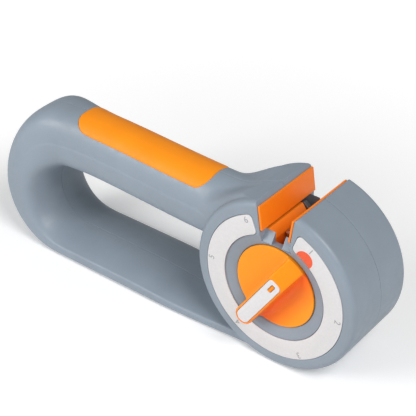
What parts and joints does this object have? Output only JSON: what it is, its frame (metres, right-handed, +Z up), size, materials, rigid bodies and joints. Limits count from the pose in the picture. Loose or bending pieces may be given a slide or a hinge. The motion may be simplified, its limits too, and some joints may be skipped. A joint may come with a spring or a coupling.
{
  "type": "rotary knife sharpener",
  "caption": "Table-top knife sharpener with a loop handle and a round drum; a front knob turns a turret of sharpening elements under the knife notch.",
  "frame": {"origin": "centre of the sole pad's underside, on the table", "axes": "+Z up, +X from the loop handle towards the drum, -Y the dial side with the selector knob"},
  "size_m": [0.2009, 0.0459, 0.0786],
  "materials": {
    "housing_gray": "fine matte texture, blue gray",
    "grip_orange": "soft-touch, satin, orange",
    "orange_plastic": "satin orange",
    "silver_plate": "pale satin silver",
    "dark_plastic": "matte dark gray",
    "steel": "plain steel",
    "carbide": "dark ground carbide",
    "diamond_coat": "matte, diamond grit on steel",
    "ceramic": "off-white ceramic",
    "bearing_plastic": "natural acetal",
    "sole_rubber": "matte black rubber"
  },
  "bodies": {
    "housing": {"front_shell": "housing_gray", "rear_shell": "housing_gray", "grip_pad": "grip_orange", "dial_ring": "silver_plate", "notch_liner_left": "orange_plastic", "notch_liner_right": "orange_plastic", "sole_pad": "sole_rubber", "front_bush": "bearing_plastic", "rear_bush": "bearing_plastic", "rear_hub_cap": "housing_gray", "detent_spring": "steel", "shell_screw_1": "steel", "shell_screw_2": "steel", "shell_screw_3": "steel", "shell_screw_4": "steel", "shell_screw_5": "steel", "shell_screw_6": "steel"},
    "turret": {"turret_core": "orange_plastic", "turret_cap": "dark_plastic", "index_wheel": "dark_plastic", "axle": "steel", "thrust_washer": "steel", "knob": "orange_plastic", "knob_inlay": "silver_plate", "knob_screw": "steel", "carbide_blade_a": "carbide", "carbide_blade_b": "carbide", "diamond_rod_a": "diamond_coat", "diamond_rod_b": "diamond_coat", "ceramic_rod_a": "ceramic", "ceramic_rod_b": "ceramic", "scissor_blade_a": "steel", "scissor_blade_b": "steel", "serration_rod_a": "ceramic", "serration_rod_b": "ceramic", "honing_rod_a": "ceramic", "honing_rod_b": "ceramic"}
  },
  "joints": [
    {"name": "turret_turn", "type": "hinge", "parent": "housing", "child": "turret", "pos_m": [0.06045, 0, 0.04], "axis": [0, 1, 0], "continuous": true, "deforming": ["detent_spring"]}
  ]
}
